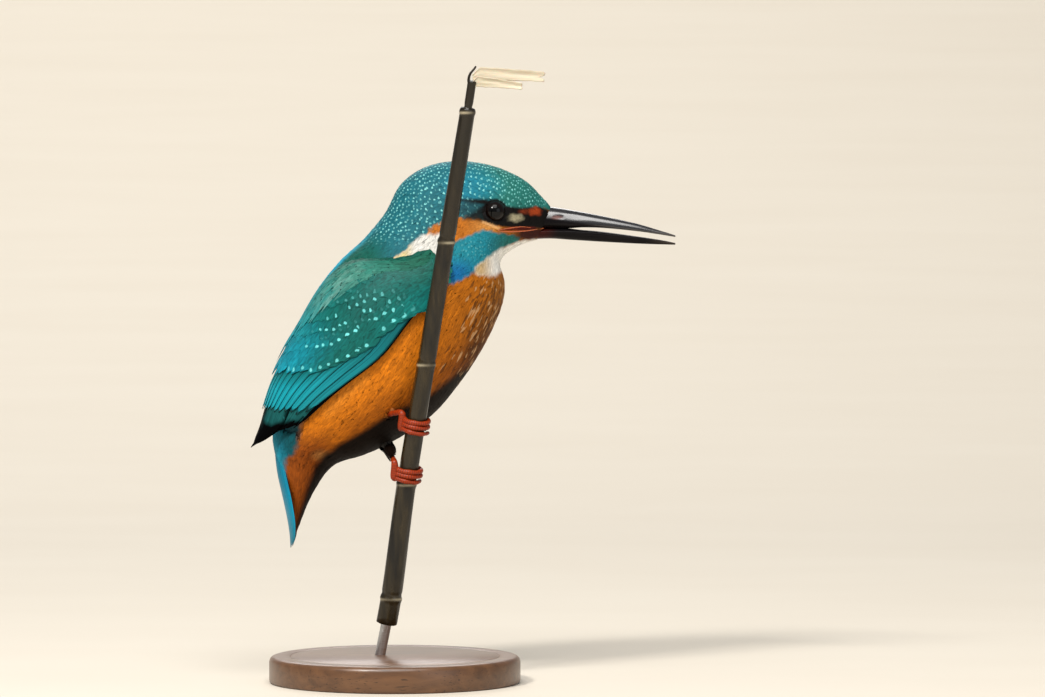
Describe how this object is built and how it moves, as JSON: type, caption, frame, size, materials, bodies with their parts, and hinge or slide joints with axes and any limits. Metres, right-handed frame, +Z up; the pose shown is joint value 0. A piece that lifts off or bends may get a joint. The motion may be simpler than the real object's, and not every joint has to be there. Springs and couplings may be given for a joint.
{
  "type": "common kingfisher",
  "caption": "Life-size still model of a kingfisher that clings upright to a cut reed, its long bill to the front, held by a rod on a round display base.",
  "frame": {"origin": "centre of the display base's underside, on the floor", "axes": "+Z up, +X the way the bird and its bill face, +Y the bird's left side"},
  "size_m": [0.1291, 0.076, 0.1874],
  "materials": {
    "crown_feathers": "soft feathers, dark teal with azure spots on the crown",
    "neck_feathers": "soft feathers, teal nape, white throat and neck patch",
    "body_feathers": "soft feathers, orange underparts and azure back",
    "undertail_feathers": "soft feathers, orange and dusky",
    "tail_feathers": "stiff feathers, azure",
    "wing_feathers": "feathers with a slight sheen, teal with azure spots",
    "flight_feathers": "stiff feathers, blackish",
    "bill_horn": "smooth dark horn",
    "eye_gloss": "wet gloss, near black",
    "shank_feathers": "short dark feathers",
    "foot_scales": "satin scales, coral red",
    "reed_stem": "dry dark reed with pale joints and husk",
    "stand_wood": "satin walnut",
    "stand_metal": "brushed"
  },
  "bodies": {
    "root": {"head": "crown_feathers", "neck": "neck_feathers", "trunk": "body_feathers", "undertail": "undertail_feathers", "tail": "tail_feathers", "wing_left": "wing_feathers", "wing_right": "wing_feathers", "primaries_left": "flight_feathers", "primaries_right": "flight_feathers", "bill_upper": "bill_horn", "bill_lower": "bill_horn", "eye_left": "eye_gloss", "eye_right": "eye_gloss", "leg_left": "shank_feathers", "leg_right": "shank_feathers", "foot_left": "foot_scales", "foot_right": "foot_scales", "perch_reed": "reed_stem", "stand_base": "stand_wood", "stand_rod": "stand_metal"}
  },
  "joints": []
}
